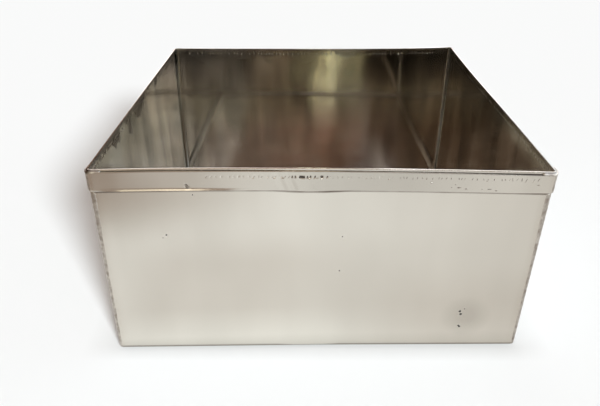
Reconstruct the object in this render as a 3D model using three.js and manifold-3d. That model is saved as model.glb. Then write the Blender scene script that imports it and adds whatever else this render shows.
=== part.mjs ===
// Deep square cake pan, welded up from thin sheet steel.
// Each wall is one folded sheet: a foot flange turned in under the base, a flat web, and two ends rolled round
// towards the corners. The base panel lies on the four flanges. A flat band is seam welded round the outside
// of the walls just below their top edges. Welds close the upright corners, the corners of the rim and the
// seams between the base and the walls.
// Millimetres, +Z up, origin at the centre of the underside, front wall towards -Y.

import * as THREE from "three";
import Module from "manifold-3d";

// Driving dimensions
const panWidth = 203.2; // across the outside faces of two opposite walls
const panHeight = 101.6; // underside to the top edges of the walls
const sheet = 0.6; // thickness of the walls, the base and the bands
const bendRadius = 1.4; // inside radius of the bend at the foot of a wall
const cornerCore = 0.4; // what an upright corner's outside radius adds to that of the foot bend
const flangeWidth = 12; // reach of a foot flange, from the outside face of its wall
const baseClearance = 0.3; // edge of the base panel to the end of the foot bend
const bandHeight = 9; // upper to lower edge of a rim band
const bandStep = 1.1; // top edge of the wall to the upper edge of the band
const bandGap = 0.3; // space between the band and the wall, which the seam weld bridges
const bandEase = 0.3; // rounding of the band's outer edges
const seamDrop = 4.2; // top edge of the wall to the middle of the band's seam weld
const seamHeight = 1.2; // band's seam weld, across its run
const seamMargin = 6; // end of the band's seam weld to the start of the corner
const rootWidth = 0.5; // weld metal between two walls, at their outside faces
const weldClearance = 0.15; // space between a corner, rim or base weld and the sheets that it joins
const beadWidth = 2.4; // corner weld across its toes
const beadCrown = 0.35; // height of the corner weld over its bed
const beadStart = 0.35; // height of the bead's lower end over the underside
const beadEnd = 1.2; // length over which the bead rounds off below the band
const ripplePitch = 2.8; // length of one ripple of the corner weld
const rippleDepth = 0.1; // how far the bead dips between two ripples
const rimArm = 4; // reach of a rim weld along each wall, from the end of the corner
const rimCrown = 0.25; // height of a rim weld over the face of the band
const filletRise = 1.2; // base weld's leg up the wall, from the end of the foot bend
const filletReach = 1.2; // base weld's leg across the base, from the edge of the base

// Facets
const bendSteps = 5; // along a quarter bend
const edgeSteps = 3; // along a rounded edge
const cornerSteps = 4; // along each rolled end of a wall
const bedSteps = 2; // across half the bed of a corner weld
const crownSteps = 4; // across the crown of a corner weld
const wrapSteps = 3; // where a corner weld curves under the foot

// Worked out from the driving dimensions
const half = panWidth / 2;
const footRadius = bendRadius + sheet;
const cornerRadius = footRadius + cornerCore;
const cornerAxis = half - cornerRadius; // the corner's upright axis, from both centre planes
const bandTop = panHeight - bandStep;
const bandFoot = bandTop - bandHeight;
const bandFace = bandGap + sheet; // outer face of the band, from the outside face of the wall
const seamGap = rootWidth + 2 * weldClearance; // opening between two walls, at their outside faces
const seamAngle = Math.asin(seamGap / 2 / cornerRadius); // half that opening, seen from the corner's axis
const rootAngle = Math.asin(rootWidth / 2 / cornerRadius);
const mitreSetback = seamGap * Math.SQRT1_2; // keeps a mitred end half a seam from the diagonal
const baseFace = 2 * sheet; // upper face of the base panel, which lies on the flanges
const baseHalf = half - footRadius - baseClearance;

const quarterTurn = Math.PI / 2;
const eighthTurn = Math.PI / 4;

const sheetSteel = { color: 0xc9c5ba, roughness: 0.3, metalness: 1 };
const weldSteel = { color: 0xaaa59a, roughness: 0.45, metalness: 1 };

const wasm = await Module();
wasm.setup();

const point = (x, y) => new THREE.Vector2(x, y);

// Points along an elliptical arc, which turns clockwise where the second angle is the smaller one.
function arc(centre, radiusX, radiusY, from, to, steps) {
  return new THREE.EllipseCurve(centre.x, centre.y, radiusX, radiusY, from, to, to < from).getPoints(steps);
}

// A closed solid through a row of rings. Each ring has a point for each point of the outline, which is the
// shape of both end faces and runs counter-clockwise when it is seen from the last ring.
function loft(rings, outline) {
  const count = outline.length;
  const last = (rings.length - 1) * count;
  const faces = [];
  for (let row = 0; row < last; row += count) {
    for (let i = 0; i < count; i++) {
      const here = row + i;
      const next = row + ((i + 1) % count);
      faces.push(here, next, next + count, here, next + count, here + count);
    }
  }
  for (const [a, b, c] of THREE.ShapeUtils.triangulateShape(outline, [])) {
    faces.push(c, b, a, last + a, last + b, last + c);
  }
  const geometry = new THREE.BufferGeometry();
  geometry.setFromPoints(rings.flat());
  geometry.setIndex(faces);
  return geometry;
}

// One body made of two that overlap.
function fuse(first, second) {
  const [a, b] = [first, second].map((geometry) => {
    const vertProperties = Float32Array.from(geometry.attributes.position.array);
    const triVerts = Uint32Array.from(geometry.index.array);
    return new wasm.Manifold(new wasm.Mesh({ numProp: 3, vertProperties, triVerts }));
  });
  const { vertProperties, triVerts } = a.add(b).getMesh();
  const geometry = new THREE.BufferGeometry();
  geometry.setAttribute("position", new THREE.BufferAttribute(vertProperties, 3));
  geometry.setIndex(new THREE.BufferAttribute(triVerts, 1));
  return geometry;
}

// Stations along the front of the pan, from right to left: a rolled end, the given stations of the right half
// of the straight run, and their mirror images.
function frontPath(corner, straight) {
  const right = [];
  for (let step = 0; step <= cornerSteps; step++) {
    right.push({ ...corner, x: cornerAxis, angle: (eighthTurn - seamAngle) * (1 - step / cornerSteps) });
  }
  right.push(...straight);
  const left = right.map((station) => ({ ...station, x: -station.x, angle: -station.angle })).reverse();
  return [...right, ...left];
}

// A section at one station of that path: x is the distance out from the wall's outside face, y the height.
function placeOnFront(outline, { x, angle }) {
  return outline.map(({ x: out, y: height }) => {
    const radius = cornerRadius + out;
    return new THREE.Vector3(x + radius * Math.sin(angle), -cornerAxis - radius * Math.cos(angle), height);
  });
}

// The front wall. Its flange narrows on a mitre, short of the diagonal, to nothing at the corner.
function wallGeometry() {
  const footCentre = point(-footRadius, footRadius);
  const endReach = footRadius + cornerCore / 2;
  const section = (flangeReach) => [
    point(-flangeReach, 0),
    ...arc(footCentre, footRadius, footRadius, -quarterTurn, 0, bendSteps),
    point(0, panHeight),
    point(-sheet, panHeight),
    ...arc(footCentre, bendRadius, bendRadius, 0, -quarterTurn, bendSteps),
    point(-flangeReach, sheet),
  ];
  const flangeEnd = { x: half - flangeWidth - mitreSetback, angle: 0, flangeReach: flangeWidth };
  const stations = frontPath({ flangeReach: endReach }, [flangeEnd]);
  const rings = stations.map((station) => placeOnFront(section(station.flangeReach), station));
  return loft(rings, section(endReach));
}

// The front rim band: a flat strip with rounded outer edges, which follows the wall round to both seams.
function bandGeometry() {
  const easeX = bandFace - bandEase;
  const section = [
    point(bandGap, bandFoot),
    ...arc(point(easeX, bandFoot + bandEase), bandEase, bandEase, -quarterTurn, 0, edgeSteps),
    ...arc(point(easeX, bandTop - bandEase), bandEase, bandEase, 0, quarterTurn, edgeSteps),
    point(bandGap, bandTop),
  ];
  const rings = frontPath({}, []).map((station) => placeOnFront(section, station));
  return loft(rings, section);
}

// The seam weld that joins the front band to the wall: a straight run that just bridges the gap.
function bandSeamGeometry() {
  const run = 2 * (cornerAxis - seamMargin);
  const seam = new THREE.BoxGeometry(run, bandGap, seamHeight);
  return seam.translate(0, -half - bandGap / 2, panHeight - seamDrop);
}

// The base panel: a flat square with rounded corners, lying on the flanges.
function baseGeometry() {
  const middle = baseHalf - cornerRadius;
  const outline = new THREE.Shape();
  for (let corner = 0; corner < 4; corner++) {
    const from = corner * quarterTurn;
    const centre = point(middle, middle).rotateAround(point(0, 0), from);
    outline.absarc(centre.x, centre.y, cornerRadius, from, from + quarterTurn, false);
  }
  outline.closePath();
  const panel = new THREE.ExtrudeGeometry(outline, {
    depth: sheet,
    bevelEnabled: false,
    curveSegments: bendSteps,
  });
  return panel.translate(0, 0, sheet);
}

// Radius of the corner's outside surface about its axis, which draws in round the foot.
function cornerRadiusAt(height) {
  const below = Math.max(footRadius - height, 0);
  return cornerCore + Math.sqrt(footRadius ** 2 - below ** 2);
}

// Section of a corner weld: x runs across the seam, y out from the corner's axis along the diagonal. A root
// fills the seam, and a crowned cap lies over the two walls.
function beadOutline(crown, width) {
  const bed = cornerRadius + weldClearance;
  const innerFace = cornerRadius - sheet;
  const toe = Math.asin(width / 2 / bed);
  const polar = (radius, angle) => point(radius * Math.sin(angle), radius * Math.cos(angle));
  const bedAngles = [];
  for (let step = 0; step < bedSteps; step++) {
    bedAngles.push(rootAngle + ((toe - rootAngle) * step) / bedSteps);
  }
  const cap = [];
  for (let step = 0; step <= crownSteps; step++) {
    const share = 1 - (2 * step) / crownSteps;
    cap.push(polar(bed + crown * (1 - share ** 2), toe * share));
  }
  return [
    polar(innerFace, -rootAngle),
    polar(innerFace, rootAngle),
    ...bedAngles.map((angle) => polar(bed, angle)),
    ...cap,
    ...bedAngles.reverse().map((angle) => polar(bed, -angle)),
  ];
}

// An upright corner weld about the corner's axis, with the diagonal along +X. It starts under the foot, climbs
// in ripples, and rounds off just below the band.
function cornerWeldGeometry() {
  const top = bandFoot - weldClearance;
  const dip = { crown: beadCrown - rippleDepth, width: beadWidth - rippleDepth };
  const peak = { crown: beadCrown, width: beadWidth };
  const stations = [];
  for (let step = 0; step < wrapSteps; step++) {
    stations.push({ height: beadStart + ((footRadius - beadStart) * step) / wrapSteps, ...dip });
  }
  const rippled = top - beadEnd - footRadius;
  const ripples = Math.max(1, Math.round(rippled / ripplePitch));
  for (let ripple = 0; ripple < ripples; ripple++) {
    const height = footRadius + (rippled * ripple) / ripples;
    stations.push({ height, ...dip });
    stations.push({ height: height + rippled / ripples / 2, ...peak });
  }
  for (const share of [0, 0.5, 0.9]) {
    const left = Math.sqrt(1 - share ** 2);
    const width = rootWidth + (beadWidth - rootWidth) * left;
    stations.push({ height: top - beadEnd * (1 - share), crown: beadCrown * left, width });
  }
  const rings = stations.map(({ height, crown, width }) => {
    const scale = cornerRadiusAt(height) / cornerRadius;
    return beadOutline(crown, width).map(({ x, y }) => new THREE.Vector3(y * scale, -x * scale, height));
  });
  return loft(rings, beadOutline(beadCrown, beadWidth));
}

// A rim weld about the corner's axis, with the diagonal along +X: a wedge fills the seam between two walls and
// their bands, and a fillet runs over the step from band to wall for a short way on both sides.
function rimWeldGeometry() {
  const inside = cornerRadius - sheet;
  const outside = cornerRadius + bandFace + rimCrown;
  const shoulder = point((inside + outside) / 2, bandTop);
  const wedgeOutline = [
    point(inside, bandFoot),
    point(outside, bandFoot),
    ...arc(shoulder, (outside - inside) / 2, bandStep + rimCrown, 0, Math.PI, bendSteps),
  ];
  const wedgeSide = (sign) =>
    wedgeOutline.map(({ x, y }) => new THREE.Vector3(x, sign * x * Math.tan(rootAngle), y));
  const wedge = loft([wedgeSide(1), wedgeSide(-1)], wedgeOutline);

  const filletOutline = [
    point(weldClearance, bandTop + weldClearance),
    ...arc(
      point(weldClearance, bandTop + weldClearance),
      bandFace - weldClearance,
      bandStep - weldClearance,
      0,
      quarterTurn,
      bendSteps,
    ),
  ];
  const stations = [{ angle: eighthTurn, along: rimArm }];
  for (let step = 0; step <= 2 * cornerSteps; step++) {
    stations.push({ angle: eighthTurn * (1 - step / cornerSteps), along: 0 });
  }
  stations.push({ angle: -eighthTurn, along: -rimArm });
  const rings = stations.map(({ angle, along }) =>
    filletOutline.map(({ x: out, y: height }) => {
      const radius = cornerRadius + out;
      const x = radius * Math.cos(angle) - along * Math.sin(angle);
      const y = radius * Math.sin(angle) + along * Math.cos(angle);
      return new THREE.Vector3(x, y, height);
    }),
  );
  return fuse(wedge, loft(rings, filletOutline));
}

// The weld between the front wall and the base panel: a fillet that follows the foot bend and laps the panel.
function baseWeldGeometry() {
  const panelEdge = -footRadius - baseClearance;
  const bed = bendRadius - weldClearance;
  const outline = [
    point(panelEdge - filletReach, baseFace + weldClearance),
    point(panelEdge + weldClearance, baseFace + weldClearance),
    point(panelEdge + weldClearance, sheet + weldClearance),
    ...arc(point(-footRadius, footRadius), bed, bed, -quarterTurn, 0, bendSteps),
    point(-sheet - weldClearance, footRadius + filletRise),
  ];
  const end = (sign) =>
    outline.map(({ x: out, y: height }) => {
      const reach = Math.min(cornerAxis, half + out - mitreSetback);
      return new THREE.Vector3(sign * reach, -half - out, height);
    });
  return loft([end(1), end(-1)], outline);
}

const pan = new THREE.Group();

function addPiece(parent, name, geometry, finish) {
  geometry.computeVertexNormals();
  const mesh = new THREE.Mesh(geometry, new THREE.MeshStandardMaterial(finish));
  mesh.name = name;
  parent.add(mesh);
}

addPiece(pan, "base_panel", baseGeometry(), sheetSteel);

const wall = wallGeometry();
const band = bandGeometry();
const bandSeam = bandSeamGeometry();
const baseWeld = baseWeldGeometry();
["front", "right", "back", "left"].forEach((sideName, turn) => {
  const side = new THREE.Group();
  side.rotation.z = turn * quarterTurn;
  pan.add(side);
  addPiece(side, `${sideName}_wall`, wall, sheetSteel);
  addPiece(side, `${sideName}_rim_band`, band, sheetSteel);
  addPiece(side, `${sideName}_band_seam`, bandSeam, weldSteel);
  addPiece(side, `${sideName}_base_weld`, baseWeld, weldSteel);
});

const cornerWeld = cornerWeldGeometry();
const rimWeld = rimWeldGeometry();
["back_right", "back_left", "front_left", "front_right"].forEach((cornerName, turn) => {
  const axis = point(cornerAxis, cornerAxis).rotateAround(point(0, 0), turn * quarterTurn);
  const corner = new THREE.Group();
  corner.position.set(axis.x, axis.y, 0);
  corner.rotation.z = eighthTurn + turn * quarterTurn;
  pan.add(corner);
  addPiece(corner, `${cornerName}_corner_weld`, cornerWeld, weldSteel);
  addPiece(corner, `${cornerName}_rim_weld`, rimWeld, weldSteel);
});

export default pan;
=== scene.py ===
import bmesh
import bpy
import math
import random
from mathutils import Matrix, Vector, noise


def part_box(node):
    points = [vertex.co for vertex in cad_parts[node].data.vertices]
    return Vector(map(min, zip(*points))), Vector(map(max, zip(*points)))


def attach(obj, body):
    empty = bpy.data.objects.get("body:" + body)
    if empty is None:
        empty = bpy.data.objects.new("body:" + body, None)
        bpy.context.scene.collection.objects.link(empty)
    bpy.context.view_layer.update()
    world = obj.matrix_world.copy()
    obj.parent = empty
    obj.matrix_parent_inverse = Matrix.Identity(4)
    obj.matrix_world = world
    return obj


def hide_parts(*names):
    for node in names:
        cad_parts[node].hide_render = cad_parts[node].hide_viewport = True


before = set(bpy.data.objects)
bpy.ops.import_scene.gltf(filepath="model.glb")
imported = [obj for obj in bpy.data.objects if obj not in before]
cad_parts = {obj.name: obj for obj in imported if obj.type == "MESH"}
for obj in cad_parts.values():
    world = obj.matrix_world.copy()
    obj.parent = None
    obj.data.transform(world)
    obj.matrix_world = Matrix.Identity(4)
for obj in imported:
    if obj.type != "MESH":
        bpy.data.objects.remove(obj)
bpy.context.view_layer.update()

mm = 0.001
sideNames = ["front", "right", "back", "left"]  # each a quarter turn on from the one before
cornerNames = ["front_right", "back_right", "back_left", "front_left"]

wallLow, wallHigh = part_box("front_wall")
bandLow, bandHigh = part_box("front_rim_band")
baseLow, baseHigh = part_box("base_panel")

pan = dict(
    half=-wallLow.y,  # centre plane to the outside face of a wall
    height=wallHigh.z,
    sheet=baseHigh.z - baseLow.z,
    flange=wallHigh.y - wallLow.y,
    footRadius=2.0 * mm,
    cornerRadius=2.4 * mm,
    bandFoot=bandLow.z,
    bandTop=bandHigh.z,
    seamDrop=3.6 * mm,  # top edge to the row of stitch marks
)
pan["axis"] = pan["half"] - pan["cornerRadius"]  # upright axis that a corner is rolled round
pan["arc"] = pan["cornerRadius"] * math.pi / 4  # outside face of one rolled end
pan["seamHeight"] = pan["height"] - pan["seamDrop"]
dentPlace = -5.0 * mm  # along the front, where the band is knocked
quarterTurn = math.pi / 2


# shader sockets that take part in arithmetic

class Socket:
    def __init__(self, tree, link=None):
        self.tree = tree
        self.link = link

    def node(self, kind, settings, inputs, output=0):
        made = self.tree.nodes.new(kind)
        for name, value in settings.items():
            if name == "stops":
                ramp = made.color_ramp
                while len(ramp.elements) < len(value):
                    ramp.elements.new(1.0)
                for element, (place, colour) in zip(ramp.elements, value):
                    element.position = place
                    element.color = (*colour, 1.0)
            else:
                setattr(made, name, value)
        for name, value in inputs.items():
            if isinstance(value, Socket):
                self.tree.links.new(value.link, made.inputs[name])
            else:
                made.inputs[name].default_value = value
        return Socket(self.tree, made.outputs[output]) if len(made.outputs) else None

    def other(self, name):  # another output of the same node
        return Socket(self.tree, self.link.node.outputs[name])

    def maths(self, operation, first, second=0.0):
        return self.node("ShaderNodeMath", {"operation": operation}, {0: first, 1: second})

    def __add__(self, other):
        return self.maths("ADD", self, other)

    def __radd__(self, other):
        return self.maths("ADD", other, self)

    def __sub__(self, other):
        return self.maths("SUBTRACT", self, other)

    def __rsub__(self, other):
        return self.maths("SUBTRACT", other, self)

    def __mul__(self, other):
        return self.maths("MULTIPLY", self, other)

    def __rmul__(self, other):
        return self.maths("MULTIPLY", other, self)

    def __truediv__(self, other):
        return self.maths("DIVIDE", self, other)

    def spread(self, low, high, start=0.0, end=1.0):  # low..high of this value becomes start..end, clamped
        inputs = {"Value": self, "From Min": low, "From Max": high, "To Min": start, "To Max": end}
        return self.node("ShaderNodeMapRange", {"clamp": True}, inputs, "Result")

    def tint(self, first, second):  # a colour between two, by this value
        settings = {"data_type": "RGBA", "clamp_factor": True}
        return self.node("ShaderNodeMix", settings, {0: self, 6: first, 7: second}, 2)

    def mottle(self, scale, detail):  # noise at this place
        inputs = {"Vector": self, "Scale": scale, "Detail": detail}
        return self.node("ShaderNodeTexNoise", {}, inputs, "Fac")

    def gapTo(self, place):
        return self.node("ShaderNodeVectorMath", {"operation": "DISTANCE"}, {0: self, 1: place}, "Value")

    def bump(self, strength, distance):  # a normal from this height
        inputs = {"Height": self, "Strength": strength, "Distance": distance}
        return self.node("ShaderNodeBump", {}, inputs, "Normal")


def shaderTree(material):
    material.use_nodes = True
    tree = material.node_tree
    tree.nodes.clear()
    return Socket(tree)


# bare steel sheet

sheetLook = dict(
    clean=(0.785, 0.752, 0.675, 1.0),
    dull=(0.665, 0.633, 0.563, 1.0),
    heat=(0.46, 0.385, 0.31, 1.0),
    # painted shade colour, used under and behind the bands and in the foot bend
    shadeAndStain=(0.2, 0.17, 0.145, 1.0),
    # painted shade for the band's top edge, in the gap between band and wall
    bandTopShade=(0.11, 0.088, 0.07, 1.0),
    speck=(0.02, 0.017, 0.014, 1.0),
    wiped=(0.86, 0.85, 0.8, 1.0),
    rubbed=(0.42, 0.39, 0.34, 1.0),
    scuffed=(0.4, 0.375, 0.33, 1.0),
    streak=(0.4, 0.385, 0.34, 1.0),
    stain=(0.2, 0.175, 0.15, 1.0),
    roughness=0.09,
    insideRoughness=0.04,
    cloudScale=14.0,  # per metre, soft patches of duller metal
    smearScale=45.0,
    grainScale=1400.0,
    scratchScale=700.0,
    heatWidth=7.0 * mm,
    shadeDrop=1.5 * mm,  # painted shadow under the band's lower edge
    streakScale=38.0,
    stainDepth=15.0 * mm,  # below the rim, inside
    footDarkening=8.0 * mm,  # darker towards the inside foot, up the walls and over the edge of the base
)


def sheetSteel(name, seed, specks=(), smudge=None, stain=None, ends=(0.6, 0.6), wear=0.0, topShade=0.0,
               scuff=0.0):
    look = sheetLook
    material = bpy.data.materials.new(name)
    start = shaderTree(material)
    placed = start.node("ShaderNodeAttribute", {"attribute_name": "sheetPlace"}, {}, "Vector")

    def texture(scale, detail, upright=1.0, lean=0.0):  # noise drawn out upright, then leant over
        vector = start.node("ShaderNodeMapping", {"vector_type": "TEXTURE"}, {
            "Vector": placed, "Location": (0.0, 0.0, seed), "Rotation": (0.0, lean, 0.0),
            "Scale": (1.0, 1.0, upright)})
        return vector.mottle(scale, detail)

    clouds = texture(look["cloudScale"], 2.0, 1.5)
    smears = texture(look["smearScale"], 3.0, 5.0)
    grain = texture(look["grainScale"], 2.0, 60.0)
    scratches = 0.0
    for lean in (0.06, -0.25, 0.7):
        scratches = texture(look["scratchScale"], 0.0, 70.0, lean).spread(0.82, 0.88) + scratches
    scratches = scratches.spread(0.0, 1.0)

    along = start.node("ShaderNodeSeparateXYZ", {}, {"Vector": placed}, "X")
    height = along.other("Z")
    fromMiddle = start.maths("ABSOLUTE", along)
    edge = fromMiddle.spread(pan["half"] - look["heatWidth"], pan["half"])
    heat = edge * edge * smears.spread(0.3, 0.7, 0.1, 0.8)
    dulled = clouds.spread(0.34, 0.68, 0.0, 0.65) + smears.spread(0.3, 0.75, 0.0, 0.35) + wear
    colour = dulled.tint(look["clean"], look["dull"])
    colour = heat.tint(colour, look["heat"])
    if wear:  # a band, with painted shade on its upward-facing top edge, for the gap between band and wall
        facing = start.node("ShaderNodeNewGeometry", {}, {}, "Normal")
        upward = start.node("ShaderNodeSeparateXYZ", {}, {"Vector": facing}, "Z")
        shadeAndStain = upward.spread(0.3, 0.7, 0.0, topShade)
        colour = shadeAndStain.tint(colour, look["bandTopShade"])
    elif stain is None:  # the outside of a wall
        if specks:
            fromDent = start.maths("ABSOLUTE", along - dentPlace)
            height = height + fromDent.spread(16.0 * mm, 7.0 * mm, 0.0, 0.6 * mm)
        # painted shadow in the gap behind the band, from just under its lower edge to just over its top,
        # lower near the knock
        shadeFull = pan["bandFoot"] - 0.6 * look["shadeDrop"]
        under = height.spread(pan["bandFoot"] - look["shadeDrop"], shadeFull)
        under = under * height.spread(pan["bandTop"] + 0.15 * mm, pan["bandTop"] + 0.4 * mm, 1.0, 0.0)
        # painted contact shade along the lower half of the foot bend
        inBend = height.spread(2.5 * mm, 1.6 * mm, 0.0, 0.72) * height.spread(0.1 * mm, 0.4 * mm)
        shadeAndStain = under * smears.spread(0.3, 0.6, 0.4, 1.0) + inBend
        colour = shadeAndStain.tint(colour, look["shadeAndStain"])
    else:  # the inside of a wall, or the base
        streaks = texture(look["streakScale"], 2.5, 5.0, 0.05)
        colour = streaks.spread(0.5, 0.66).tint(colour, look["wiped"])
        colour = streaks.spread(0.48, 0.34).tint(colour, look["streak"])
        ragged = texture(1.8 * look["streakScale"], 2.0, 1.6, 0.3)
        depth = (pan["height"] - height) / look["stainDepth"]
        reach = along.spread(-0.07, 0.03, 0.15, 1.0)  # deepest towards one end
        shadeAndStain = (ragged.spread(0.38, 0.7) * reach - depth).spread(0.0, 0.08) * stain
        # painted shade down the inside corners, in the stain colour, joined to the real stain under the
        # rim
        corner = fromMiddle.spread(pan["axis"] + 0.4 * mm, pan["axis"] + 1.2 * mm)
        shadeAndStain = start.maths("MAXIMUM", shadeAndStain, corner * along.spread(-mm, mm, *ends))
        shadeAndStain = start.maths("MAXIMUM", shadeAndStain, depth.spread(0.16, 0.1) * stain)
        # darker towards the inside foot, up the walls and over the base's edge, in the stain colour
        outward = start.maths("MAXIMUM", fromMiddle, start.maths("ABSOLUTE", along.other("Y")))
        inFoot = outward.spread(pan["half"] - look["footDarkening"], pan["half"])
        inFoot = inFoot * height.spread(look["footDarkening"], 0.0) * 0.5
        colour = inFoot.tint(colour, look["stain"])
        colour = shadeAndStain.tint(colour, look["stain"])
    if scuff:
        scuffs = smears.spread(0.3, 0.7, 0.8, 1.0) * scuff
        colour = scuffs.tint(colour, look["scuffed"])
    if smudge:
        place, size, strength = smudge
        rub = (placed.gapTo(place) + clouds * size * 0.6).spread(size * 0.6, size * 1.4, strength, 0.0)
        colour = rub.tint(colour, look["rubbed"])
    metallic = 1.0
    if specks:
        dark = 0.0
        for place, size in specks:
            dark = (placed.gapTo(place) + smears * size).spread(size * 1.1, size * 1.6, 1.0, 0.0) + dark
        dark = dark.spread(0.0, 1.0)
        colour = dark.tint(colour, look["speck"])
        metallic = 1.0 - dark

    plain = look["roughness"] if stain is None or scuff else look["insideRoughness"]
    roughness = plain + clouds.spread(0.25, 0.75, -0.02, 0.05) + smears.spread(0.3, 0.75, -0.01, 0.05)
    roughness = roughness + scratches * 0.08 + heat * 0.12 + shadeAndStain * 0.2
    roughness = roughness + grain.spread(0.3, 0.7, -0.015, 0.015)
    if scuff:
        roughness = roughness + scuffs * 0.05
    relief = grain * 0.2 - scratches * 0.3
    surface = start.node("ShaderNodeBsdfPrincipled", {}, {
        "Base Color": colour, "Metallic": metallic, "Roughness": roughness,
        "Normal": relief.bump(0.06, 0.02 * mm)}, "BSDF")
    start.node("ShaderNodeOutputMaterial", {}, {"Surface": surface})
    return material


weldLook = dict(
    crest=(0.56, 0.525, 0.47, 1.0),
    hollow=(0.33, 0.29, 0.25, 1.0),
    burnt=(0.06, 0.04, 0.028, 1.0),
    burntPlace=(-102.6 * mm, -102.6 * mm, 101.2 * mm),  # tip of the front left rim corner
    burntReach=3.2 * mm,
    blotchScale=420.0,  # per metre
    pitScale=2600.0,
    roughness=0.26,
)


def weldSteel(name, shade=1.0):
    look = weldLook
    material = bpy.data.materials.new(name)
    start = shaderTree(material)
    coords = start.node("ShaderNodeTexCoord", {}, {}, "Object")
    blotch = coords.mottle(look["blotchScale"], 3.0)
    pits = coords.mottle(look["pitScale"], 2.0)
    crest, hollow = [(*(shade * part for part in look[key][:3]), 1.0) for key in ("crest", "hollow")]
    colour = blotch.spread(0.35, 0.65).tint(crest, hollow)
    burn = coords.gapTo(look["burntPlace"]).spread(look["burntReach"], 0.6 * look["burntReach"])
    colour = burn.tint(colour, look["burnt"])
    roughness = look["roughness"] + pits.spread(0.3, 0.7, 0.0, 0.18)
    relief = pits * 0.5 + blotch
    surface = start.node("ShaderNodeBsdfPrincipled", {}, {
        "Base Color": colour, "Metallic": 1.0, "Roughness": roughness,
        "Normal": relief.bump(0.2, 0.05 * mm)}, "BSDF")
    start.node("ShaderNodeOutputMaterial", {}, {"Surface": surface})
    return material


pressedLook = dict(
    scale=700.0,  # per metre
    worn=((0.56, 0.53, 0.475, 1.0), (0.38, 0.355, 0.31, 1.0)),  # light, dark
    pressed=((0.36, 0.33, 0.29, 1.0), (0.16, 0.14, 0.12, 1.0)),
    soot=((0.12, 0.1, 0.085, 1.0), (0.03, 0.028, 0.025, 1.0)),
)


def pressedSteel(name, light, dark):  # bottoms of the stitch marks
    material = bpy.data.materials.new(name)
    start = shaderTree(material)
    soot = start.node("ShaderNodeTexCoord", {}, {}, "Object").mottle(pressedLook["scale"], 2.0)
    colour = soot.spread(0.35, 0.65).tint(light, dark)
    roughness = soot.spread(0.3, 0.7, 0.35, 0.55)
    surface = start.node("ShaderNodeBsdfPrincipled", {}, {
        "Base Color": colour, "Metallic": 0.9, "Roughness": roughness}, "BSDF")
    start.node("ShaderNodeOutputMaterial", {}, {"Surface": surface})
    return material


print("materials")
speckPlaces = [  # mm along the front, mm high, mm across
    (70.3, 23.1, 0.75), (70.9, 21.3, 0.75), (70.8, 13.8, 0.6), (71.3, 13.1, 0.6), (72.4, 24.6, 0.35),
    (-70.4, 68.0, 0.55), (-72.1, 66.5, 0.3), (-56.8, 88.7, 0.35), (10.2, 66.8, 0.4), (9.4, 47.7, 0.4),
    (100.2, 17.4, 0.6),
]
frontSpecks = [((along * mm, -pan["half"], high * mm), size * mm) for along, high, size in speckPlaces]
frontSmudge = ((74.0 * mm, -pan["half"], 20.0 * mm), 12.0 * mm, 0.36)  # place, size, strength
frontBandSmudge = ((22.0 * mm, -pan["half"], 95.0 * mm), 50.0 * mm, 0.5)
stains = {"front": 0.2, "right": 0.3, "back": 0.3, "left": 0.85}  # inside, under the rim
cornerShade = {  # painted shade in the inside corners, at both ends of a wall
    "front": (0.6, 0.6),
    "right": (0.6, 0.9),
    "back": (0.9, 0.1),
    "left": (0.1, 0.6),
}
seedStep = 0.37  # gives each sheet its own pattern
sideSteel = {}
insideSteel = {}
bandSteel = {}
for step, sideName in enumerate(sideNames):
    isFront = sideName == "front"
    seed = seedStep * step
    sideSteel[sideName] = sheetSteel(f"{sideName}Steel", seed, frontSpecks if isFront else (),
                                     frontSmudge if isFront else None)
    insideSteel[sideName] = sheetSteel(f"{sideName}InsideSteel", seed + 0.2, stain=stains[sideName],
                                       ends=cornerShade[sideName])
    # each band gets painted shade on its top edge, lighter on the front
    bandSteel[sideName] = sheetSteel(f"{sideName}BandSteel", seed + 0.1, wear=0.45,
                                     smudge=frontBandSmudge if isFront else None,
                                     topShade=0.5 if isFront else 0.95)
baseSteel = sheetSteel("baseSteel", seed=1.9, stain=0.0, scuff=0.9)
weldMetal = weldSteel("weldMetal")
# a darker copy of the weld metal: painted shade for the welds in the inside foot
shadedFootWeldMetal = weldSteel("shadedFootWeldMetal", shade=0.7)
wornMetal = pressedSteel("wornMetal", *pressedLook["worn"])
pressedMetal = pressedSteel("pressedMetal", *pressedLook["pressed"])
sootMetal = pressedSteel("sootMetal", *pressedLook["soot"])


# mesh helpers

def mappedGrid(columns, rows, place):  # a grid whose points go where place(column, row) says
    bm = bmesh.new()
    bmesh.ops.create_grid(bm, x_segments=columns, y_segments=rows, size=1.0)
    for vert in bm.verts:
        column = round((vert.co.x + 1.0) / 2.0 * columns)
        row = round((vert.co.y + 1.0) / 2.0 * rows)
        vert.co = place(column, row)
    return bm


def thicken(bm, thickness):
    bmesh.ops.recalc_face_normals(bm, faces=bm.faces)
    bmesh.ops.solidify(bm, geom=bm.faces[:], thickness=thickness)
    bm.normal_update()


def roundEdges(bm, edges, width, segments):
    bmesh.ops.bevel(bm, geom=edges, offset=width, segments=segments, profile=0.5, affect="EDGES",
                    material=-1, clamp_overlap=True)


def easeEdges(bm, width, least=math.radians(55)):  # rounds every edge that turns more than the least angle
    sharp = [e for e in bm.edges if len(e.link_faces) == 2 and e.calc_face_angle() > least]
    roundEdges(bm, sharp, width, 2)


def moveToCorner(bm):  # from the origin to the front right corner
    bmesh.ops.rotate(bm, verts=bm.verts, cent=(0, 0, 0), matrix=Matrix.Rotation(math.pi / 4, 3, "Z"))
    bmesh.ops.translate(bm, verts=bm.verts, vec=(pan["axis"], -pan["axis"], 0.0))


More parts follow.
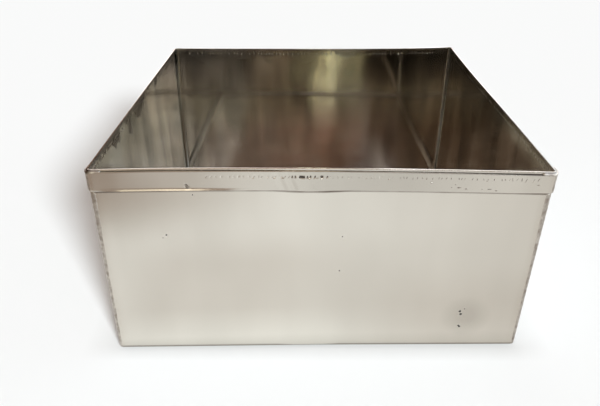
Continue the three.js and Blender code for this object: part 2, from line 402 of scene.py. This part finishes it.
# corners a little out of true: side along x, side along y, shift in mm, how local it is
rimCorners = [
    (-1, -1, (-0.9, 0.0, -1.25), 3.0),
    (1, -1, (0.7, 0.0, -1.6), 1.5),
    (1, 1, (0.0, 0.0, 1.8), 2.0),
]
footCorners = [
    (-1, -1, (0.0, -2.2, 0.0), 1.0),
    (1, -1, (0.0, 1.1, 0.0), 1.0),
]


def outOfTrue(place):
    shift = Vector()
    rim = place.z / pan["height"]
    for corners, share in ((rimCorners, rim), (footCorners, 1.0 - rim)):
        for sideX, sideY, corner, power in corners:
            nearX = max(sideX * place.x / pan["half"], 0.0)
            nearY = max(sideY * place.y / pan["half"], 0.0)
            shift += Vector(corner) * mm * share * (nearX * nearY) ** power
    return shift


def finishPiece(name, bm, materials, slotName, *nodes, turn=0.0):
    sheetPlace = bm.verts.layers.float_vector.new("sheetPlace")  # before the turn and the bend
    for vert in bm.verts:
        vert[sheetPlace] = vert.co
    bmesh.ops.rotate(bm, verts=bm.verts, cent=(0, 0, 0), matrix=Matrix.Rotation(turn, 3, "Z"))
    for vert in bm.verts:
        vert.co += outOfTrue(vert.co)
    mesh = bpy.data.meshes.new(name)
    bm.to_mesh(mesh)
    bm.free()
    for polygon in mesh.polygons:
        polygon.use_smooth = True
    mesh.set_sharp_from_angle(angle=math.radians(42))
    for material in materials:
        mesh.materials.append(material)
    piece = bpy.data.objects.new(name, mesh)
    bpy.context.collection.objects.link(piece)
    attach(piece, "root")
    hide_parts(*nodes)


def smoothStep(value, low, high):
    share = min(max((value - low) / (high - low), 0.0), 1.0)
    return share * share * (3.0 - 2.0 * share)


def bell(value, centre, width):
    return math.exp(-((value - centre) / width) ** 2)


def onFront(along, out, height):  # a point so far along the front, and out from the wall's outside
    beyond = abs(along) - pan["axis"]
    if beyond <= 0.0:
        return Vector((along, -pan["half"] - out, height))
    angle = beyond / pan["cornerRadius"]
    radius = pan["cornerRadius"] + out
    x = pan["axis"] + radius * math.sin(angle)
    return Vector((math.copysign(x, along), -pan["axis"] - radius * math.cos(angle), height))


cornerColumns = 5  # in each rolled end
straightColumns = 300
sideColumns = straightColumns + 2 * cornerColumns


def alongSide(column):  # distance along a side from its middle
    fromMiddle = column - sideColumns / 2
    straight = straightColumns / 2
    if abs(fromMiddle) <= straight:
        return fromMiddle / straight * pan["axis"]
    rolled = (abs(fromMiddle) - straight) / cornerColumns * pan["arc"]
    return math.copysign(pan["axis"] + rolled, fromMiddle)


# walls: foot flange, foot bend, web

wallSet = dict(
    flangeRows=3,
    bendRows=6,
    webRows=40,
    rimRows=16,
    rimLean=(1.0, 4.0, 4.0, 4.0),  # degrees, of the strip above the band, side by side
    rimPart=11.6 * mm,
    slowWave=0.28 * mm,  # oil canning
    slowLength=(85.0 * mm, 60.0 * mm),  # along, up
    fastWave=0.09 * mm,
    fastLength=(16.0 * mm, 70.0 * mm),
    waveSeed=11.0,
    waveSeedStep=3.7,  # from one side to the next
    markEnds=(-88.0 * mm, 94.0 * mm),  # of the row of stitch marks inside
    markSpacing=(3, 4, 5, 6, 9),  # columns from one stitch mark to the next
    markSeed=40,
    markHalf=0.8 * mm,  # half a mark's height
    edgeRound=0.12 * mm,
)


def sheetWave(along, height, seed):
    slowAlong, slowUp = wallSet["slowLength"]
    fastAlong, fastUp = wallSet["fastLength"]
    slow = noise.noise(Vector((along / slowAlong, height / slowUp, seed)))
    fast = noise.noise(Vector((along / fastAlong, height / fastUp, seed + 7.3)))
    sides = smoothStep(pan["axis"] - abs(along), 0.0, 20.0 * mm)
    foot = smoothStep(height, pan["footRadius"], 25.0 * mm)
    rim = smoothStep(pan["height"] - height, 3.0 * mm, 30.0 * mm)
    wave = wallSet["slowWave"] * slow * rim + wallSet["fastWave"] * fast * (0.3 + 0.7 * rim)
    return wave * sides * foot


def wallPlace(seed, rimLean):
    rows = wallSet
    bendStart = rows["flangeRows"]
    webStart = bendStart + rows["bendRows"]
    rimStart = webStart + rows["webRows"]
    endReach = pan["footRadius"] + 0.1 * mm

    def place(column, row):
        along = alongSide(column)
        if row <= bendStart:
            reach = min(max(pan["half"] - abs(along), endReach), pan["flange"])
            share = row / rows["flangeRows"]
            return onFront(along, -reach + (reach - pan["footRadius"]) * share, 0.0)
        if row <= webStart:
            angle = (row - bendStart) / rows["bendRows"] * quarterTurn
            out = pan["footRadius"] * (math.sin(angle) - 1.0)
            return onFront(along, out, pan["footRadius"] * (1.0 - math.cos(angle)))
        rimFoot = pan["height"] - rows["rimPart"]
        if row <= rimStart:
            share = (row - webStart) / rows["webRows"]
            height = pan["footRadius"] + (rimFoot - pan["footRadius"]) * share
        else:
            height = rimFoot + rows["rimPart"] * (row - rimStart) / rows["rimRows"]
        lean = math.tan(math.radians(rimLean)) * max(height - pan["bandTop"] + 0.4 * mm, 0.0)
        return onFront(along, sheetWave(along, height, seed) - lean, height)

    return place


def columnAt(along):
    return int((along + pan["axis"]) / (2.0 * pan["axis"]) * straightColumns)


def stitchRow(seed, first, last, spacing):  # columns of a stitched row
    dice = random.Random(seed)
    columns = set()
    column = columnAt(first)
    while column < columnAt(last):
        columns.add(column)
        column += dice.choice(spacing)
    return columns


def pressMarks(bm, columns, facing, low, high, inset, depth, lean, slot, uneven=1.0):  # pits in faces
    marked = []
    for face in bm.faces:
        centre = face.calc_center_median()
        if low < centre.z < high and face.normal.y * facing > 0.9 and columnAt(centre.x) in columns:
            marked.append(face)
    bmesh.ops.inset_region(bm, faces=marked, thickness=inset, depth=-depth, use_even_offset=True)
    floors = set()
    for face in marked:
        face.material_index = slot
        floors.update(face.verts)
    for vert in floors:
        dice = random.Random(columnAt(vert.co.x))
        vert.co.x += lean * (1.0 + uneven * dice.uniform(-1.8, 0.6)) * (vert.co.z - (low + high) / 2.0)
        vert.co.z += uneven * inset * dice.uniform(-0.9, 0.9)


print("walls")
rowCount = sum(wallSet[part] for part in ("flangeRows", "bendRows", "webRows", "rimRows"))
for step, sideName in enumerate(sideNames):
    seed = wallSet["waveSeed"] + wallSet["waveSeedStep"] * step
    bm = mappedGrid(sideColumns, rowCount, wallPlace(seed, wallSet["rimLean"][step]))
    thicken(bm, pan["sheet"])
    for face in bm.faces:
        if face.normal.y > 0.3:
            face.material_index = 1  # inside
    columns = stitchRow(wallSet["markSeed"] + step, *wallSet["markEnds"], wallSet["markSpacing"])
    low, high = pan["seamHeight"] - wallSet["markHalf"], pan["seamHeight"] + wallSet["markHalf"]
    pressMarks(bm, columns, 1, low, high, inset=0.17 * mm, depth=0.05 * mm, lean=0.2, slot=2)
    easeEdges(bm, wallSet["edgeRound"])
    metals = [sideSteel[sideName], insideSteel[sideName], pressedMetal]
    finishPiece(f"{sideName}Wall", bm, metals, "sheet_steel", f"{sideName}_wall", turn=step * quarterTurn)


# rim bands

bandSet = dict(
    rows=14,
    gap=0.22 * mm,
    lean=0.3 * mm,  # lower edge stands out further than the top
    slant=(0.3 * mm, 0.12 * mm, -0.2 * mm, 0.1 * mm),  # top edge runs down to the right, side by side
    flareEnds=0.22 * mm,  # top stands off the wall near both ends
    endPlace=84.0 * mm,
    endWidth=15.0 * mm,
    ripple=0.07 * mm,
    rippleLength=20.0 * mm,
    waveSeed=60.0,
    waveSeedStep=2.9,
    lip=0.26 * mm,  # turned out lower edge at the left end of the front
    lipRange=(20.0 * mm, 55.0 * mm),  # left of the middle, from where it starts to where it is full
    lipPower=24,  # keeps it to the very edge
    dentSpring=0.25 * mm,  # how far the knock drives the lower edge out
    dentPress=0.14 * mm,  # and the top in
    dentSag=0.4 * mm,  # and the lower edge down
    creaseWidth=1.2 * mm,
    creaseLean=4.0 * mm,  # from foot to top
    creases=(  # distance from the knock, depth
        (-10.0 * mm, 0.12 * mm), (-5.5 * mm, 0.18 * mm), (4.5 * mm, 0.1 * mm)),
    markSpacing=(2, 2, 3, 3, 4, 5),
    markSeed=80,
    markHalf=0.7 * mm,
    struckPlaces=(  # mm along the front
        -12.9, -11.6, -9.8, -9.1, -8.3, -7.4, -6.5, -5.2, -2.9, -0.6, 0.1, 2.6),
    scuffs=(  # mm along the front, columns, mm above the band's foot
        (47.5, 2, 4.9), (56.5, 1, 2.2), (58.0, 1, 3.2), (59.5, 3, 2.2), (62.3, 2, 1.6), (69.8, 1, 1.6),
        (72.5, 3, 1.6), (75.5, 2, 1.0), (93.3, 2, 3.9)),
    scuffHalf=0.33 * mm,
    nickPlace=-58.5 * mm,
    wornEnd=32.0 * mm,  # stitch marks are fainter as far as this
    topRound=0.38 * mm,
    footRound=0.55 * mm,
    edgeRound=0.16 * mm,
)


def bandDent(along, share):  # a knock in the front: top pressed in, lower edge sprung out, creases
    place = dentPlace - 3.0 * mm
    out = bandSet["dentSpring"] * bell(along, place + 2.5 * mm, 11.0 * mm) * (1.0 - share) ** 1.5
    out -= bandSet["dentPress"] * bell(along, place - 1.0 * mm, 14.0 * mm) * share
    for offset, depth in bandSet["creases"]:
        crease = along - place - offset + bandSet["creaseLean"] * (share - 0.5)
        out -= depth * bell(crease, 0.0, bandSet["creaseWidth"]) * bell(share, 0.35, 0.5)
    return out


def bandOut(along, share, seed, dented):  # band's outside from the wall's; share 1 is its top
    loose = smoothStep(pan["axis"] - abs(along), 0.0, 12.0 * mm)
    flare = bandSet["flareEnds"] * bell(abs(along), bandSet["endPlace"], bandSet["endWidth"]) * share ** 2
    wave = noise.noise(Vector((along / bandSet["rippleLength"], share * 0.8, seed)))
    sway = bandSet["lean"] * (1.0 - share) + flare + bandSet["ripple"] * wave
    if dented:
        lip = bandSet["lip"] * smoothStep(-along, *bandSet["lipRange"])
        sway += bandDent(along, share) + lip * (1.0 - share) ** bandSet["lipPower"]
    return bandSet["gap"] + pan["sheet"] + loose * sway


def bandPlace(seed, slant, dented):
    def place(column, row):
        along = alongSide(column)
        share = row / bandSet["rows"]
        top = pan["bandTop"] - slant * along / pan["half"]
        height = pan["bandFoot"] + (top - pan["bandFoot"]) * share
        if dented:
            height -= bandSet["dentSag"] * bell(along, dentPlace, 8.0 * mm) * (1.0 - share)
        return onFront(along, bandOut(along, share, seed, dented), height)

    return place


def outerEdges(bm, upward):  # edges of the outside face along its top, 1, or its foot, -1
    def meets(edge):
        atEnd = any(face.normal.z * upward > 0.7 for face in edge.link_faces)
        return atEnd and any(face.normal.y < -0.5 for face in edge.link_faces)

    return [edge for edge in bm.edges if meets(edge)]


print("rim bands")
stitchEnds = {  # ends of the row of stitch marks
    "front": (-50.0 * mm, 96.0 * mm),
    "right": (-95.0 * mm, 95.0 * mm),
    "back": (-80.0 * mm, 90.0 * mm),
    "left": (-60.0 * mm, 90.0 * mm),
}
rowLow, rowHigh = pan["seamHeight"] - bandSet["markHalf"], pan["seamHeight"] + bandSet["markHalf"]
for step, sideName in enumerate(sideNames):
    dented = sideName == "front"
    seed = bandSet["waveSeed"] + bandSet["waveSeedStep"] * step
    bm = mappedGrid(sideColumns, bandSet["rows"], bandPlace(seed, bandSet["slant"][step], dented))
    thicken(bm, pan["sheet"])
    columns = stitchRow(bandSet["markSeed"] + step, *stitchEnds[sideName], bandSet["markSpacing"])
    if dented:
        struck = {columnAt(place * mm) for place in bandSet["struckPlaces"]}
        columns -= {column + beside for column in struck for beside in (-1, 0, 1)}
        pressMarks(bm, struck, -1, rowLow, rowHigh, inset=0.1 * mm, depth=0.1 * mm, lean=0.35, slot=2)
        nick = {columnAt(bandSet["nickPlace"]) + beside for beside in (-1, 0, 1)}
        pressMarks(bm, nick, -1, pan["bandFoot"] + 0.5 * mm, pan["bandFoot"] + 3.1 * mm,
                   inset=0.05 * mm, depth=0.01 * mm, lean=-0.7, slot=1, uneven=0.0)
        for place, width, lift in bandSet["scuffs"]:
            scuff = {columnAt(place * mm) + beside for beside in range(width)}
            middle = pan["bandFoot"] + lift * mm
            pressMarks(bm, scuff, -1, middle - bandSet["scuffHalf"], middle + bandSet["scuffHalf"],
                       inset=0.13 * mm, depth=0.03 * mm, lean=0.8, slot=1)
    worn = {column for column in columns if column < columnAt(bandSet["wornEnd"])}
    for marks, slot in ((worn, 3), (columns - worn, 1)):
        pressMarks(bm, marks, -1, rowLow, rowHigh, inset=0.17 * mm, depth=0.022 * mm, lean=0.5, slot=slot)
    roundEdges(bm, outerEdges(bm, 1), bandSet["topRound"], 3)
    roundEdges(bm, outerEdges(bm, -1), bandSet["footRound"], 3)
    easeEdges(bm, bandSet["edgeRound"])
    metals = [bandSteel[sideName], pressedMetal, sootMetal, wornMetal]
    finishPiece(f"{sideName}RimBand", bm, metals, "sheet_steel", f"{sideName}_rim_band",
                turn=step * quarterTurn)


# base panel

baseSet = dict(
    cells=60,
    crown=0.12 * mm,
    waveLength=70.0 * mm,
    flatEdge=(8.0 * mm, 50.0 * mm),  # in from the edge, from where it starts to rise to where it is full
)


def basePlace(column, row):
    reach = baseHigh.x
    x = (2.0 * column / baseSet["cells"] - 1.0) * reach
    y = (2.0 * row / baseSet["cells"] - 1.0) * reach
    wave = noise.noise(Vector((x / baseSet["waveLength"], y / baseSet["waveLength"], 3.1)))
    inside = smoothStep(reach - max(abs(x), abs(y)), *baseSet["flatEdge"])
    return Vector((x, y, baseHigh.z + baseSet["crown"] * abs(wave) * inside))


print("base")
bm = mappedGrid(baseSet["cells"], baseSet["cells"], basePlace)
thicken(bm, pan["sheet"])
finishPiece("basePanel", bm, [baseSteel], "sheet_steel", "base_panel")


# corner welds: rippled beads

beadSet = dict(
    columns=22,
    rows=440,
    halfWidth=1.7 * mm,  # on each side of the corner's ridge
    topWidth=2.7 * mm,
    widening=(45.0 * mm, 90.0 * mm),  # heights between which it grows to its top width
    wanderLength=7.0 * mm,
    swellLength=5.0 * mm,
    crown=0.26 * mm,
    pitch=2.8 * mm,
    ripple=0.07 * mm,
    sink=0.2 * mm,
    thickness=0.5 * mm,
    seed=20.0,
    seedStep=5.3,
)


def cornerRadiusAt(height):
    below = max(pan["footRadius"] - height, 0.0)
    core = pan["cornerRadius"] - pan["footRadius"]
    return core + math.sqrt(pan["footRadius"] ** 2 - below ** 2)


def roundCorner(along, radius, height):  # a point along a corner's outside, straight on past the roll
    turn = max(min(along, pan["arc"]), -pan["arc"])
    straight = along - turn
    angle = turn / pan["cornerRadius"]
    x = radius * math.sin(angle) + straight * math.cos(angle)
    y = -radius * math.cos(angle) + straight * math.sin(angle)
    return Vector((x, y, height))


def beadPlace(seed):
    low = 0.12 * mm
    high = pan["bandFoot"] - 0.1 * mm

    def place(column, row):
        across = 2.0 * column / beadSet["columns"] - 1.0
        height = low + (high - low) * row / beadSet["rows"]
        wander = noise.noise(Vector((height / beadSet["wanderLength"], seed, 0.0)))
        endRound = math.sqrt(max(1.0 - (1.0 - smoothStep(high - height, 0.0, 2.0 * mm)) ** 2, 0.02))
        top = smoothStep(height, *beadSet["widening"])
        width = beadSet["halfWidth"] * (1.0 - top) + beadSet["topWidth"] * top
        width *= (1.0 + 0.1 * wander) * endRound
        width *= 0.6 + 0.4 * smoothStep(height, 0.0, 5.0 * mm)
        phase = (height + 1.1 * mm * across ** 2) / beadSet["pitch"] + 0.35 * wander
        ripple = abs(math.sin(math.pi * phase))
        swell = noise.noise(Vector((height / beadSet["swellLength"], seed, 5.0)))
        crown = beadSet["crown"] * (1.0 + 0.3 * swell) - beadSet["ripple"] * (1.0 - ripple)
        crown *= (1.0 - across ** 2) * endRound
        radius = cornerRadiusAt(height) + crown - beadSet["sink"] * across ** 6
        return roundCorner(across * width + 0.1 * mm * wander, radius, height)

    return place


print("corner welds")
for step, cornerName in enumerate(cornerNames):
    seed = beadSet["seed"] + beadSet["seedStep"] * step
    bm = mappedGrid(beadSet["columns"], beadSet["rows"], beadPlace(seed))
    thicken(bm, beadSet["thickness"])
    moveToCorner(bm)
    finishPiece(f"{cornerName}_cornerWeld", bm, [weldMetal], "weld_steel", f"{cornerName}_corner_weld",
                turn=step * quarterTurn)


# rim welds: a lumpy fillet over the step from band to wall, and a short bead down the seam of the bands

rimSet = dict(
    columns=60,
    rows=8,
    arm=4.2 * mm,  # along the rim, past the rolled corner
    lump=0.1 * mm,
    lumpLength=1.6 * mm,
    thickness=0.4 * mm,
    seed=31.0,
    seedStep=4.1,
    beadColumns=8,
    beadRows=40,
    beadThickness=0.5 * mm,
    beadAngle=0.45,  # radians on each side of the seam
    beadCrown=0.08 * mm,
    beadSwell=0.05 * mm,
    beadSwellLength=2.2 * mm,
    beadSink=0.12 * mm,
    beadSeed=51.0,
)


def rimPlace(seed):
    length = rimSet["arm"] + pan["arc"]

    def place(column, row):
        along = (2.0 * column / rimSet["columns"] - 1.0) * length
        share = row / rimSet["rows"] * quarterTurn
        tip = math.sqrt(max(1.0 - (along / length) ** 6, 0.0))
        lump = noise.noise(Vector((along / rimSet["lumpLength"], row * 0.3, seed)))
        face = bandSet["gap"] + pan["sheet"]
        out = (face + 0.12 * mm) * math.cos(share) * (0.45 + 0.55 * tip) + rimSet["lump"] * lump * tip
        rise = pan["height"] - pan["bandTop"]
        height = pan["bandTop"] - 0.15 * mm + (rise + 0.2 * mm) * math.sin(share) * (0.55 + 0.45 * tip)
        return roundCorner(along, pan["cornerRadius"] + out, height)

    return place


def seamBeadPlace(seed):
    def place(column, row):
        across = 2.0 * column / rimSet["beadColumns"] - 1.0
        share = row / rimSet["beadRows"]
        height = pan["bandFoot"] - 0.05 * mm + (pan["bandTop"] + 0.3 * mm - pan["bandFoot"]) * share
        swell = noise.noise(Vector((height / rimSet["beadSwellLength"], seed, 2.0)))
        ends = smoothStep(min(share, 1.0 - share), 0.0, 0.08)
        radius = pan["cornerRadius"] + bandSet["gap"] + pan["sheet"]
        crown = rimSet["beadCrown"] + rimSet["beadSwell"] * swell
        radius += crown * (1.0 - across ** 2) * ends - rimSet["beadSink"] * across ** 4
        angle = across * rimSet["beadAngle"]
        return Vector((radius * math.sin(angle), -radius * math.cos(angle), height))

    return place


print("rim welds")
for step, cornerName in enumerate(cornerNames):
    seed = rimSet["seed"] + rimSet["seedStep"] * step
    bm = mappedGrid(rimSet["columns"], rimSet["rows"], rimPlace(seed))
    thicken(bm, rimSet["thickness"])
    bead = mappedGrid(rimSet["beadColumns"], rimSet["beadRows"], seamBeadPlace(rimSet["beadSeed"] + step))
    thicken(bead, rimSet["beadThickness"])
    beadMesh = bpy.data.meshes.new("beadPart")
    bead.to_mesh(beadMesh)
    bead.free()
    bm.from_mesh(beadMesh)
    bpy.data.meshes.remove(beadMesh)
    moveToCorner(bm)
    finishPiece(f"{cornerName}_rimWeld", bm, [weldMetal], "weld_steel", f"{cornerName}_rim_weld",
                turn=step * quarterTurn)


# base welds: rippled fillets

filletSet = dict(
    columns=330,
    rows=7,
    pitch=1.3 * mm,
    ripple=0.1 * mm,
    reach=3.6 * mm,  # over the base, from the wall's outside
    height=3.3 * mm,
    crown=0.16 * mm,
    wanderLength=12.0 * mm,
    thickness=0.3 * mm,
    seed=71.0,
    seedStep=6.1,
)


def filletPlace(seed):
    def place(column, row):
        share = row / filletSet["rows"]
        outStart, outEnd = -filletSet["reach"], -pan["sheet"] + 0.05 * mm
        out = outStart + (outEnd - outStart) * share
        heightStart, heightEnd = baseHigh.z - 0.05 * mm, filletSet["height"]
        reach = min(pan["axis"], pan["half"] + out)
        along = (2.0 * column / filletSet["columns"] - 1.0) * reach
        bulge = share * (1.0 - share) * 4.0
        phase = (along + 0.8 * mm * (share - 0.5) ** 2 * 4.0) / filletSet["pitch"]
        wander = noise.noise(Vector((along / filletSet["wanderLength"], seed, 0.0)))
        ripple = abs(math.sin(math.pi * (phase + 0.4 * wander)))
        lift = (filletSet["crown"] * (1.0 + 0.4 * wander) + filletSet["ripple"] * ripple) * bulge
        height = heightStart + (heightEnd - heightStart) * share ** 1.25
        return Vector((along, -pan["half"] - out + lift * 0.6, height + lift * 0.8))

    return place


print("base welds")
for step, sideName in enumerate(sideNames):
    seed = filletSet["seed"] + filletSet["seedStep"] * step
    bm = mappedGrid(filletSet["columns"], filletSet["rows"], filletPlace(seed))
    thicken(bm, filletSet["thickness"])
    finishPiece(f"{sideName}BaseWeld", bm, [shadedFootWeldMetal], "weld_steel", f"{sideName}_base_weld",
                turn=step * quarterTurn)

for sideName in sideNames:  # seam welds in the gap behind the bands stay as they are
    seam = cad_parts[f"{sideName}_band_seam"]
    seam.data.materials.clear()
    seam.data.materials.append(weldMetal)


# stage: floor, room, one lamp, camera

print("stage")
stageSet = dict(
    floorSize=8.0,
    floorColour=(0.84, 0.845, 0.855, 1.0),
    contactShadowColour=(0.68, 0.68, 0.68, 1.0),  # painted contact shadow on the floor, right at the foot of the front wall
    floorWhite=0.06,  # share of plain white in the floor that the camera and mirrors see
    farTone=(0.42, 0.345, 0.295, 1.0),  # what the steel mirrors of the floor further away
    farStart=0.33,
    farEnd=0.6,
    farCentre=(0.05, -0.12, 0.0),
    skyColour=(0.44, 0.385, 0.345, 1.0),  # lights the floor
    sunStrength=5.4,
    sunColour=(0.9, 0.97, 1.0),
    sunSpread=12.0,  # degrees, for soft shadow edges
    sunFrom=(0.42, -0.79, 0.445),
    sunDistance=2.0,
)

bm = bmesh.new()
bmesh.ops.create_grid(bm, x_segments=1, y_segments=1, size=stageSet["floorSize"] / 2)
floorMesh = bpy.data.meshes.new("floor")
bm.to_mesh(floorMesh)
bm.free()
floor = bpy.data.objects.new("floor", floorMesh)
bpy.context.collection.objects.link(floor)
floor.location.z = -0.05 * mm

floorMaterial = bpy.data.materials.new("floorPaper")
start = shaderTree(floorMaterial)
coords = start.node("ShaderNodeTexCoord", {}, {}, "Object")
toPan = coords.gapTo(stageSet["farCentre"])
seenByCamera = start.node("ShaderNodeLightPath", {}, {}, "Is Camera Ray")
seenInSteel = seenByCamera.other("Is Glossy Ray")
seenThrough = seenByCamera.other("Is Transmission Ray")
seen = (seenByCamera + seenInSteel + seenThrough).spread(0.0, 1.0)
floorX = start.node("ShaderNodeSeparateXYZ", {}, {"Vector": coords}, "X")
floorY = floorX.other("Y")
# places on the floor that the steel mirrors darker
leftFront = floorX.spread(-0.02, -0.2) * floorY.spread(-0.21, -0.26)
rightFront = floorY.spread(-0.1, -0.14) * 0.1 + floorY.spread(-0.17, -0.23) * 0.2
rightFront = floorX.spread(0.03, 0.2) * rightFront
rightFoot = floorX.spread(0.0, 0.06) * floorY.spread(-0.18, -0.12) * floorY.spread(-0.05, -0.1) * 0.3
dip = floorY.spread(-0.112, -0.135) * floorY.spread(-0.225, -0.185) * 0.28
dip = dip * floorX.spread(0.03, -0.03, 0.45, 1.0) * floorX.spread(-0.115, -0.085, 0.45, 1.0)
leftSide = floorX.spread(-0.2, -0.28) * 0.8
around = toPan.spread(stageSet["farStart"], stageSet["farEnd"])
dimmed = leftFront + rightFront + rightFoot + dip + leftSide + around
far = seenInSteel * dimmed.spread(0.0, 1.0)
# painted contact shadow on the floor in front of the front wall's foot, also mirrored in the wall
contactShadow = floorY.spread(-0.112, -0.102) * floorY.spread(0.05, 0.0)
contactShadow = contactShadow * floorX.spread(-0.12, -0.095) * floorX.spread(0.12, 0.095)
shadedPaperColour = contactShadow.tint(stageSet["floorColour"], stageSet["contactShadowColour"])
paper = start.node("ShaderNodeBsdfDiffuse", {}, {"Color": shadedPaperColour}, "BSDF")
white = start.node("ShaderNodeEmission", {}, {"Color": (1.0, 1.0, 1.0, 1.0), "Strength": 1.0}, "Emission")
tone = start.node("ShaderNodeEmission", {}, {"Color": stageSet["farTone"], "Strength": 1.0}, "Emission")
whiteShare = seen * stageSet["floorWhite"]
near = start.node("ShaderNodeMixShader", {}, {0: whiteShare, 1: paper, 2: white}, "Shader")
surface = start.node("ShaderNodeMixShader", {}, {0: far, 1: near, 2: tone}, "Shader")
start.node("ShaderNodeOutputMaterial", {}, {"Surface": surface})
floorMesh.materials.append(floorMaterial)

world = bpy.data.worlds.new("room")
bpy.context.scene.world = world
start = shaderTree(world)
direction = start.node("ShaderNodeTexCoord", {}, {}, "Generated")
sideways = start.node("ShaderNodeSeparateXYZ", {}, {"Vector": direction}, "X")
backward = sideways.other("Y").spread(-0.1, 0.1)
rise = sideways.other("Z")

roomSet = dict(  # light that the steel mirrors, by direction along x
    frontLow=((-0.45, (1.2, 1.15, 0.9)), (-0.16, (1.7, 1.5, 1.25)), (0.03, (2.85, 2.6, 2.25)),
              (0.2, (3.4, 3.75, 4.0))),
    frontHigh=((-0.28, (0.55, 0.46, 0.42)), (-0.18, (0.24, 0.19, 0.15)), (-0.03, (0.48, 0.38, 0.34)),
               (0.095, (0.15, 0.1, 0.08)), (0.165, (1.3, 1.25, 1.45)), (0.45, (1.1, 1.2, 1.4))),
    backLow=((-0.21, (3.0, 2.8, 2.8)), (-0.04, (0.95, 0.82, 0.85)), (0.07, (0.28, 0.22, 0.2)),
             (0.165, (3.0, 2.8, 2.8))),
    backHigh=((-0.18, (0.18, 0.11, 0.08)), (-0.1, (0.4, 0.3, 0.29)), (0.04, (0.45, 0.26, 0.21)),
              (0.09, (0.14, 0.07, 0.05)), (0.15, (0.2, 0.13, 0.12)), (0.21, (0.75, 0.78, 0.86)),
              (0.45, (1.0, 1.1, 1.2))),
    pane=(9.0, 9.8, 7.8, 1.0),  # two narrow windows, one in front and one behind
    sidePane=(2.4, 2.4, 2.7, 1.0),
    ceiling=(0.6, 0.56, 0.52, 1.0),
)


def roomPart(stops):  # one quarter of the room
    places = [(along + 0.5, colour) for along, colour in stops]
    return start.node("ShaderNodeValToRGB", {"stops": places}, {0: sideways.spread(-0.5, 0.5)}, "Color")


front = rise.spread(0.25, 0.29).tint(roomPart(roomSet["frontLow"]), roomPart(roomSet["frontHigh"]))
back = rise.spread(0.27, 0.3).tint(roomPart(roomSet["backLow"]), roomPart(roomSet["backHigh"]))
walls = backward.tint(front, back)
sidePane = sideways.spread(0.15, 0.165) * sideways.spread(0.21, 0.202)
sidePane = sidePane * rise.spread(0.31, 0.34) * backward
walls = sidePane.tint(walls, roomSet["sidePane"])
pane = sideways.spread(-0.004, 0.004) * sideways.spread(0.048, 0.042)
frontPane = pane * rise.spread(0.27, 0.34, 0.0, 0.26) * rise.spread(0.348, 0.338) * (1.0 - backward)
backPane = pane * rise.spread(0.2, 0.23) * rise.spread(0.285, 0.27) * backward
walls = (frontPane + backPane).tint(walls, roomSet["pane"])
walls = rise.spread(0.75, 0.9).tint(walls, roomSet["ceiling"])
seenByCamera = start.node("ShaderNodeLightPath", {}, {}, "Is Camera Ray")
sky = seenByCamera.other("Is Glossy Ray").tint(stageSet["skyColour"], walls)
sky = seenByCamera.tint(sky, (1.0, 1.0, 1.0, 1.0))
room = start.node("ShaderNodeBackground", {}, {"Color": sky, "Strength": 1.0}, "Background")
start.node("ShaderNodeOutputWorld", {}, {"Surface": room})

sunLight = bpy.data.lights.new("softSun", "SUN")
sunLight.energy = stageSet["sunStrength"]
sunLight.color = stageSet["sunColour"]
sunLight.angle = math.radians(stageSet["sunSpread"])
sun = bpy.data.objects.new("softSun", sunLight)
sun.location = Vector(stageSet["sunFrom"]) * stageSet["sunDistance"]
sun.rotation_euler = (-Vector(stageSet["sunFrom"])).to_track_quat("-Z", "Y").to_euler()
sun.visible_glossy = False
bpy.context.collection.objects.link(sun)

cameraSet = dict(
    place=(-9.91 * mm, -327.71 * mm, 210.1 * mm),
    pitch=29.05,  # degrees below level
    yaw=-0.12,
    roll=0.25,
    focal=581.05,  # pixels
    pictureWidth=600.0,
    sensorWidth=36.0,  # mm
)
cameraData = bpy.data.cameras.new("camera")
cameraData.sensor_fit = "HORIZONTAL"
cameraData.sensor_width = cameraSet["sensorWidth"]
cameraData.lens = cameraSet["focal"] * cameraSet["sensorWidth"] / cameraSet["pictureWidth"]
cameraData.clip_start = 0.01
camera = bpy.data.objects.new("camera", cameraData)
turnUp = Matrix.Rotation(math.radians(90.0 - cameraSet["pitch"]), 4, "X")
turnSide = Matrix.Rotation(math.radians(cameraSet["yaw"]), 4, "Z")
turnRoll = Matrix.Rotation(math.radians(cameraSet["roll"]), 4, "Z")
camera.matrix_world = Matrix.Translation(cameraSet["place"]) @ turnSide @ turnUp @ turnRoll
bpy.context.collection.objects.link(camera)
bpy.context.scene.camera = camera
bpy.context.scene.view_settings.view_transform = "Standard"

print("done")
